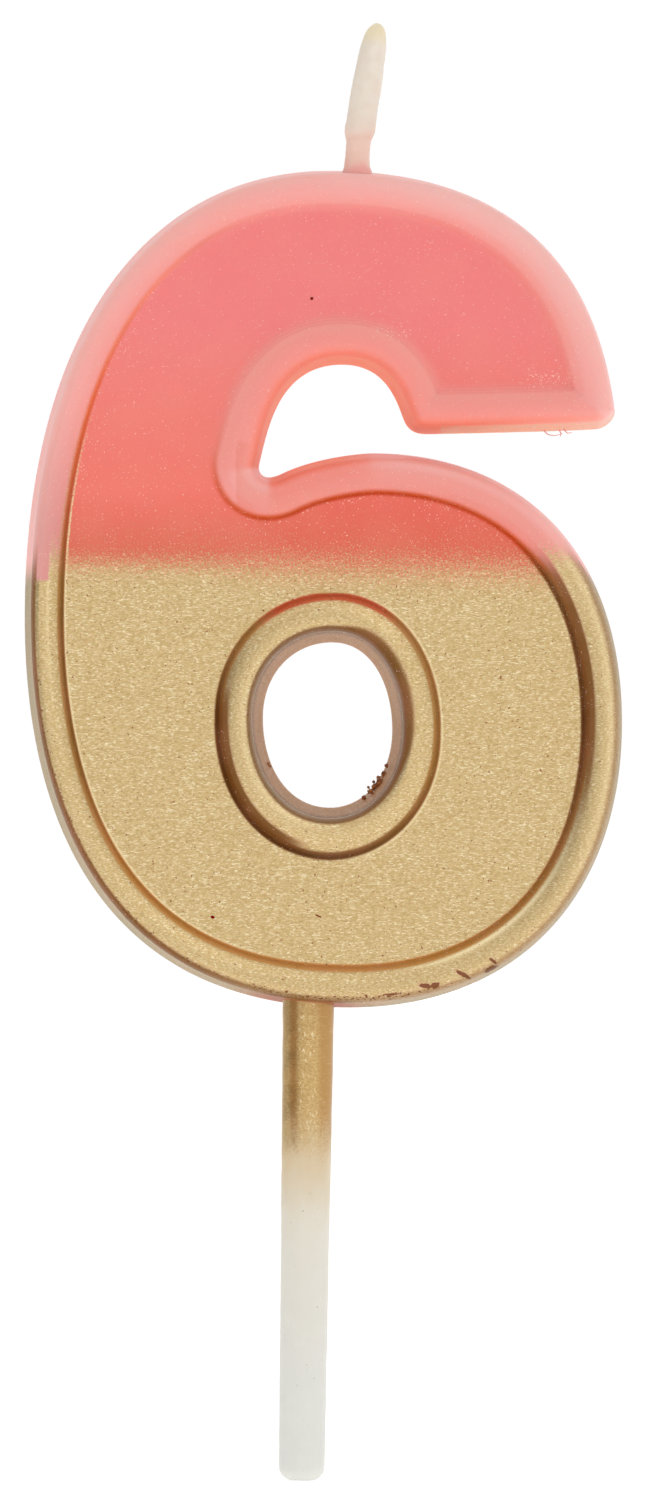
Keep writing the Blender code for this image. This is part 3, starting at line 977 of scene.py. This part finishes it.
def digit_finish():
    """Two-tone finish: dyed wax, and flaked gold lacquer where the film covers it, both with painted light
    and shade.
    """
    n = Nodes("pink_wax_and_gold_lacquer")
    names = ("cover", "groove", "painted_highlight", "thin_film_and_shade", "wall", "wear", "nick_and_glint")
    cover, groove, painted_highlight, thin_film_and_shade, wall, wear, nick_and_glint = (n.fact(name) for name in names)
    grain = n.noise(0.17, 3.0, 0.65, stretch=(1.6, 1.6, 0.7))
    fine = n.noise(0.09, 2.0, 0.6, stretch=(3.2, 3.2, 0.7))
    gold = lacquer_colour(n, grain, fine, painted_highlight, thin_film_and_shade)
    chips = chipped(n, wear)
    film = n.times(film_share(n, cover, groove, thin_film_and_shade), n.math("SUBTRACT", 1.0, chips))
    in_gold = n.reach(n.place()[2], CHIP_TOP, CHIP_TOP - 2.0, 0.0, 0.9)
    wax = n.blend(n.times(chips, in_gold), wax_colour(n, nick_and_glint), CHIP_BROWN)
    specks = n.spots(DARK_SPECKS, -4.5, 2.0)
    colour = n.blend(specks, n.blend(film, wax, gold), srgb(120, 10, 2))
    wax_rough = n.scaled(n.noise(1.6, 3.0), 0.16, 0.36)
    gold_rough = n.scaled(grain, 0.16, 0.26)
    flakes = n.times(n.math("ADD", grain, fine), film)
    relief = n.math("SUBTRACT", flakes, n.times(chips, 1.2))
    normal = n.bump(relief, 0.4, 0.06, n.bump(n.noise(1.1, 3.0), 0.2, 0.05))
    n.surface(colour, n.mix(film, wax_rough, gold_rough), normal)
    n.shade("Metallic", n.times(film, 0.96))
    marks = n.most(chips, specks)
    matt = n.most(n.most(wall, groove), n.times(thin_film_and_shade, 2.5, clamp=True))
    n.shade("Specular IOR Level", n.scaled(n.most(matt, marks), -0.42, 0.5))
    n.scatter(n.scaled(marks, -0.4, 0.4), (1.0, 0.4, 0.28), 0.9)
    n.shade("IOR", 1.44)
    return n.material


# ---- moulding flash

# Crumbs left in the counter: (x, y, z, size).
CRUMBS = (
    (6.0, 1.6, 18.85, 0.32),
    (5.6, 2.2, 18.45, 0.27),
    (6.35, 2.4, 19.5, 0.26),
    (5.15, 1.2, 18.05, 0.2),
    (5.85, 2.9, 19.2, 0.16),
    (5.45, 2.0, 18.85, 0.12),
    (5.0, 2.6, 18.4, 0.1),
    (4.6, 1.8, 17.55, 0.16),
    (6.5, 1.0, 20.2, 0.16),
    (-3.45, 2.0, 20.3, 0.2),
    (-3.2, 2.6, 20.15, 0.12),
)

# Hairs of wax under the arm's edge: their points (x, z).
HAIRS = (
    ((19.6, 48.25), (20.0, 47.85), (20.6, 47.75), (21.2, 47.95)),
    ((20.9, 48.3), (21.1, 47.9), (21.0, 47.65)),
    ((21.3, 48.3), (21.6, 47.95), (22.0, 48.0)),
)
HAIR_RADIUS = 0.05
HAIR_Y = 3.6


def add_crumb(build, place, size, seed):
    made = bmesh.ops.create_icosphere(build, subdivisions=3, radius=1.0)["verts"]
    rough = ripple(np.array([tuple(vert.co) for vert in made]), 0.55, seed)
    for vert, bump in zip(made, rough):
        vert.co = (Vector(place) + vert.co * float(size * (1.0 + 0.9 * bump))) * MM


def turns(count):
    """Angles evenly around a circle."""
    return 2 * math.pi * np.arange(count) / count


def add_hair(build, line, y):
    """A round hair that tapers towards its free end."""
    t = np.linspace(0.0, len(line) - 1.0, 24)
    path = np.column_stack([np.interp(t, range(len(line)), column) for column in zip(*line)])
    path[1:-1] = (path[:-2] + path[1:-1] + path[2:]) / 3
    along = np.gradient(path, axis=0)
    along /= np.hypot(*along.T)[:, None]
    angles = turns(10)
    rings = []
    for step, ((x, z), (dx, dz)) in enumerate(zip(path, along)):
        radius = HAIR_RADIUS * (1.0 - 0.6 * step / len(path))
        ring = [
            build.verts.new((
                (x - dz * radius * math.cos(a)) * MM,
                (y + radius * math.sin(a)) * MM,
                (z + dx * radius * math.cos(a)) * MM,
            ))
            for a in angles
        ]
        rings.append(ring)
    for low, high in zip(rings, rings[1:]):
        for face in band(low, high):
            build.faces.new(face)
    build.faces.new(rings[0][::-1])
    build.faces.new(rings[-1])


def make_flash():
    build = bmesh.new()
    for seed, (x, y, z, size) in enumerate(CRUMBS):
        add_crumb(build, (x, y, z), size, 40 + seed)
    for index, line in enumerate(HAIRS):
        add_hair(build, line, HAIR_Y - 0.5 * index)
    bmesh.ops.recalc_face_normals(build, faces=build.faces)
    mesh = bpy.data.meshes.new("moulding_flash")
    build.to_mesh(mesh)
    build.free()
    mesh.shade_smooth()
    flash = add_object("moulding_flash", mesh)
    flash.data.materials.append(flash_finish())
    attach(flash, "root")


def flash_finish():
    n = Nodes("dusted_flash_wax")
    height = n.place()[2]
    crumb = n.blend(n.step(n.noise(0.3, 3.0), 0.35, 0.65), srgb(132, 74, 36), srgb(196, 134, 80))
    colour = n.blend(n.reach(height, 34.0, 38.0), crumb, srgb(236, 150, 138))
    n.surface(colour, n.scaled(n.noise(0.4, 2.0), 0.3, 0.35), n.bump(n.noise(0.2, 3.0), 0.5, 0.05))
    return n.material


# ---- wick and pick

WICK_X = 4.0
WICK_LEAN_Z = 71.6
WICK_LEAN = 0.165
WICK_LEAN_BLEND = 1.2
COAT_KNOTS = (
    (69.35, 1.3), (69.75, 1.2), (70.05, 1.08), (70.5, 1.03), (71.6, 1.02), (72.3, 1.06),
    (72.65, 1.2), (73.05, 1.31), (73.5, 1.29), (74.2, 1.24), (75.7, 1.25), (78.2, 1.2), (79.6, 1.12),
    (80.6, 1.0), (81.2, 0.86), (81.6, 0.68), (81.85, 0.48), (82.0, 0.28), (82.06, 0.1),
)
WICK_STEP = 0.09
PICK_STEP = 0.3
ROUND_SIDES = 64


def wick_path_x(z):
    past = (z - WICK_LEAN_Z) / WICK_LEAN_BLEND
    return WICK_X + WICK_LEAN * WICK_LEAN_BLEND * math.log1p(math.exp(min(past, 40.0)))


def circle(z):
    """Points of a unit circle at a height."""
    angles = turns(ROUND_SIDES)
    return np.column_stack((np.cos(angles), np.sin(angles), np.full(ROUND_SIDES, z)))


def widened(around, radii, x=0.0):
    """A unit circle widened to the given radii and moved along x."""
    return np.column_stack((x + radii * around[:, 0], radii * around[:, 1], around[:, 2]))


def loft(rings):
    """Skin a stack of equal rings and close both ends with a fan."""
    sides = len(rings[0])
    points = [tuple(point) for ring in rings for point in ring]
    faces = []
    for low in range(0, len(points) - sides, sides):
        faces.extend(band(range(low, low + sides), range(low + sides, low + 2 * sides)))
    for ring, first in ((rings[0], 0), (rings[-1], len(points) - sides)):
        points.append(tuple(np.mean(ring, axis=0)))
        hub = len(points) - 1
        faces.extend((first + i, first + (i + 1) % sides, hub) for i in range(sides))
    return points, faces


def make_wick_coat():
    """The dipped wax on the wick: lumpy, leaning, drawn in to a neck above the digit."""
    knots = np.array(COAT_KNOTS)
    heights = np.arange(knots[0, 0], knots[-1, 0], WICK_STEP)
    heights = np.append(heights, knots[-1, 0])
    radii = np.interp(heights, knots[:, 0], knots[:, 1])
    window = np.array((1.0, 3.0, 4.0, 3.0, 1.0)) / 12.0
    radii[2:-2] = np.convolve(radii, window, "valid")
    rings = []
    for z, radius in zip(heights, radii):
        around = circle(z)
        lumps = 0.05 * ripple(around * (1.0, 1.0, 0.45), 0.9, 21) + 0.03 * ripple(around, 0.35, 22)
        radii = radius * (1.0 + lumps * min(1.0, radius))
        rings.append(widened(around, radii, wick_path_x(z)))
    points, faces = loft(rings)
    coat = make_mesh_object("wick_coat", points, faces, wick_finish())
    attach(coat, "root")
    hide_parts("wick_wax_coat")


def wick_finish():
    """Ivory wax, stained pink where it rises from the digit and yellowish at the tip."""
    n = Nodes("ivory_wick_wax")
    height = n.place()[2]
    base = n.blend(n.step(n.noise(1.3, 3.0), 0.35, 0.65), srgb(232, 223, 209), srgb(228, 217, 202))
    drawn = n.scaled(n.noise(0.8, 2.0), 1.2 * MM, height)
    base = n.blend(n.reach(drawn, 75.6, 71.4), base, srgb(240, 213, 197))
    base = n.blend(n.reach(drawn, 71.4, 69.9), base, srgb(243, 172, 164))
    tip = n.scaled(n.noise(0.5, 2.0), 1.0 * MM, height)
    base = n.blend(n.reach(tip, 80.4, 81.8), base, srgb(232, 219, 188))
    n.surface(base, n.scaled(n.noise(0.7, 2.0), 0.2, 0.35), n.bump(n.noise(0.45, 3.0), 0.3, 0.05))
    n.scatter(0.4, (1.0, 0.8, 0.6), 1.0)
    return n.material


PICK_LENGTH = 39.3
PICK_DEPTH = 12.0
PICK_RADIUS_AT_WAX = 2.13
PICK_RADIUS_AT_FOOT = 1.9
PICK_ROUNDING = 1.1
PICK_LEAN = math.radians(0.83)


def make_pick():
    """The round plastic stick, slightly uneven as moulded, its foot rounded over."""
    foot = []
    for angle in np.radians(np.linspace(0.0, 90.0, 12)):
        inward = PICK_ROUNDING * (1.0 - math.sin(angle))
        upward = PICK_ROUNDING * (1.0 - math.cos(angle))
        foot.append((PICK_RADIUS_AT_FOOT - inward, upward - PICK_LENGTH))
    slope = (PICK_RADIUS_AT_WAX - PICK_RADIUS_AT_FOOT) / PICK_LENGTH
    heights = np.arange(foot[-1][1] + PICK_STEP, PICK_DEPTH, PICK_STEP)
    section = foot + [(PICK_RADIUS_AT_WAX + slope * z, z) for z in heights]
    rings = []
    for radius, z in section:
        around = circle(z)
        uneven = 0.014 * ripple(around * (1.0, 1.0, 0.5), 0.8, 31)
        uneven += 0.01 * ripple(around * (0.4, 0.4, 1.0), 5.0, 32)
        rings.append(widened(around, radius * (1.0 + uneven)))
    points, faces = loft(rings)
    turn = np.array(Matrix.Rotation(PICK_LEAN, 3, "Y"))
    points = (np.array(points) @ turn.T).tolist()
    pick = make_mesh_object("pick_stick", points, faces, pick_finish())
    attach(pick, "root")
    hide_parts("pick")


def pick_finish():
    """Milky plastic with gold overspray that thins out downwards, and painted shade and highlights along
    it.
    """
    n = Nodes("milky_plastic_with_overspray")
    across, _, height = n.place()
    milky = n.blend(n.reach(height, -14.0, -36.0), srgb(226, 220, 206), srgb(222, 222, 216))
    milky = n.blend(n.step(n.noise(1.4, 3.0), 0.35, 0.75, 0.0, 0.25), milky, srgb(232, 230, 222))
    grain = n.noise(0.14, 3.0, 0.6, stretch=(1.6, 1.6, 0.8))
    gold = n.blend(n.step(grain, 0.36, 0.64), srgb(188, 152, 96), srgb(208, 176, 120))
    # Painted shade along the round stick: a tan band on the right, a darker stripe on the left.
    gold = n.blend(n.reach(across, 0.55, 1.25, 0.0, 0.85), gold, srgb(184, 140, 84))
    shaded_stripe = n.times(n.reach(across, -1.75, -1.3), n.reach(across, -0.7, -1.15))
    gold = n.blend(n.times(shaded_stripe, 0.65), gold, srgb(160, 104, 46))
    # Painted highlight: bright specks in a lit band down the middle.
    beads = n.step(n.noise(0.22, 3.0, 0.7, stretch=(1.0, 1.0, 1.8)), 0.56, 0.68)
    band = n.times(n.reach(across, -1.0, -0.7), n.reach(across, 0.9, 0.5))
    gold = n.blend(n.times(n.times(beads, band), 0.8), gold, srgb(252, 236, 196))
    scratches = n.step(n.noise(0.5, 3.0, 0.6, stretch=(2.4, 2.4, 0.16)), 0.6, 0.72, 0.0, 0.3)
    gold = n.blend(scratches, gold, srgb(246, 224, 178))
    wander = n.noise(1.3, 3.0, 0.6, stretch=(1.0, 1.0, 2.5))
    ragged = n.scaled(wander, 3.0 * MM, height)
    cover = n.reach(ragged, -15.5, -5.0)
    speckle = n.scaled(n.noise(0.18, 2.0, 0.7), 0.7, -0.35)
    film = n.times(n.step(n.math("ADD", cover, speckle), 0.3, 1.0), n.step(cover, 0.0, 0.15))
    stained = n.blend(n.reach(ragged, -18.0, -9.0, 0.0, 0.85), milky, srgb(214, 188, 142))
    dirt = n.step(n.noise(0.3, 1.0), 0.76, 0.79, 0.0, 0.5)
    stained = n.blend(dirt, stained, srgb(150, 146, 140))
    roughness = n.mix(film, 0.4, n.scaled(grain, 0.16, 0.22))
    normal = n.bump(grain, 0.3, 0.05, n.bump(n.noise(0.9, 3.0), 0.25, 0.06))
    n.surface(n.blend(film, stained, gold), roughness, normal)
    n.shade("Metallic", n.times(film, 0.85))
    n.scatter(0.35, (1.0, 0.9, 0.75), 1.5)
    return n.material


def cotton_finish():
    n = Nodes("cotton_yarn")
    fibre = n.noise(0.12, 3.0, 0.6, stretch=(1.0, 1.0, 4.0))
    colour = n.blend(n.step(fibre, 0.35, 0.65), srgb(222, 214, 196), srgb(244, 240, 228))
    n.surface(colour, n.scaled(fibre, 0.1, 0.82), n.bump(fibre, 0.6, 0.05))
    return n.material


def dress_strands():
    cotton = cotton_finish()
    for name in ("wick_strand_1", "wick_strand_2", "wick_strand_3"):
        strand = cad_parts[name]
        strand.data.materials.clear()
        strand.data.materials.append(cotton)


# ---- stage

CAMERA_DISTANCE = 1400.0
FRAME_HEIGHT = 125.34
VIEW_NUDGE = (0.22, 0.12)
SENSOR = 36.0
FLAG_AXIS = (0.87, 0.0, 0.5)
FLAG_SPAN = (-0.8, -0.12)
FLAG_RANGE = (0.06, 0.92)
TOP_BOOST = 0.1
DIFFUSE_RANGE = (0.78, 0.92)
DIFFUSE_SIDE = (0.88, 0.96)
KEY_POWER = 0.6
KEY_PLACE = (0.5, -0.75, 0.75)
KEY_SIZE = 0.6
KEY_TARGET = (0.0, 0.0, 0.02)
FLOOR_RADIUS = 3.0
FLOOR_SIDES = 96
DOME_RADIUS = 6.0
WHITE = (1.0, 1.0, 1.0, 1.0)
RIGHT = (1.0, 0.0, 0.0)
BACK = (0.0, 1.0, 0.0)
UP = (0.0, 0.0, 1.0)


def make_camera():
    low, high = cad_box
    centre = (Vector(low) + Vector(high)) / 2
    data = bpy.data.cameras.new("camera")
    data.sensor_width = SENSOR
    data.lens = SENSOR * (CAMERA_DISTANCE + high[1] / MM) / FRAME_HEIGHT
    data.clip_end = 50.0
    camera = add_object("camera", data)
    across, up = VIEW_NUDGE
    camera.location = (centre.x + across * MM, -CAMERA_DISTANCE * MM, centre.z + up * MM)
    camera.rotation_euler = (math.radians(90.0), 0.0, 0.0)
    bpy.context.scene.camera = camera


def plain_material(name, colour, glow):
    n = Nodes(name)
    n.surface(colour, 0.9, None)
    n.shade("Emission Color", WHITE)
    n.shade("Emission Strength", glow)
    return n.material


def make_stage():
    """A pale floor at the pick's foot, and a plain white dome that only the camera sees."""
    low, _ = cad_box
    mesh = bpy.data.meshes.new("floor")
    ring = [(FLOOR_RADIUS * math.cos(a), FLOOR_RADIUS * math.sin(a), low[2]) for a in turns(FLOOR_SIDES)]
    mesh.from_pydata(ring, [], [tuple(range(FLOOR_SIDES))])
    floor = add_object("floor", mesh)
    floor.data.materials.append(plain_material("pale_floor", (0.8, 0.8, 0.8, 1.0), 0.45))
    bpy.ops.mesh.primitive_ico_sphere_add(subdivisions=4, radius=DOME_RADIUS)
    dome = bpy.context.object
    dome.name = "backdrop"
    dome.data.materials.append(plain_material("white_backdrop", (0.0, 0.0, 0.0, 1.0), 1.0))
    for kind in ("diffuse", "glossy", "transmission", "volume_scatter", "shadow"):
        setattr(dome, "visible_" + kind, False)


def add_key():
    data = bpy.data.lights.new("key", "AREA")
    data.shape = "RECTANGLE"
    data.size = KEY_SIZE
    data.size_y = KEY_SIZE
    data.energy = KEY_POWER
    light = add_object("key", data)
    light.location = KEY_PLACE
    aim = Vector(KEY_TARGET) - Vector(KEY_PLACE)
    light.rotation_euler = aim.to_track_quat("-Z", "Y").to_euler()


def make_light():
    """A light tent: even soft light, with a black flag on the left that only reflections show."""
    world = bpy.data.worlds.new("studio")
    bpy.context.scene.world = world
    world.use_nodes = True
    n = Tree(world.node_tree, "Generated")
    side = n.most(n.along(FLAG_AXIS, *FLAG_SPAN, *FLAG_RANGE), n.along(BACK, 0.72, 0.95))
    reflected = n.math("ADD", side, n.along(UP, 0.15, 0.85, 0.0, TOP_BOOST))
    soft_top = n.along(UP, -0.6, 0.9, *DIFFUSE_RANGE)
    soft_side = n.along(RIGHT, -0.9, 0.7, *DIFFUSE_SIDE)
    glossy = n.add("ShaderNodeLightPath").outputs["Is Glossy Ray"]
    background = n.tree.nodes["Background"]
    n.wire(WHITE, background.inputs["Color"])
    n.wire(n.mix(glossy, n.times(soft_top, soft_side), reflected), background.inputs["Strength"])
    add_key()


bpy.context.scene.view_settings.view_transform = "Standard"
make_camera()
make_stage()
make_light()
make_digit()
make_wick_coat()
make_pick()
make_flash()
dress_strands()
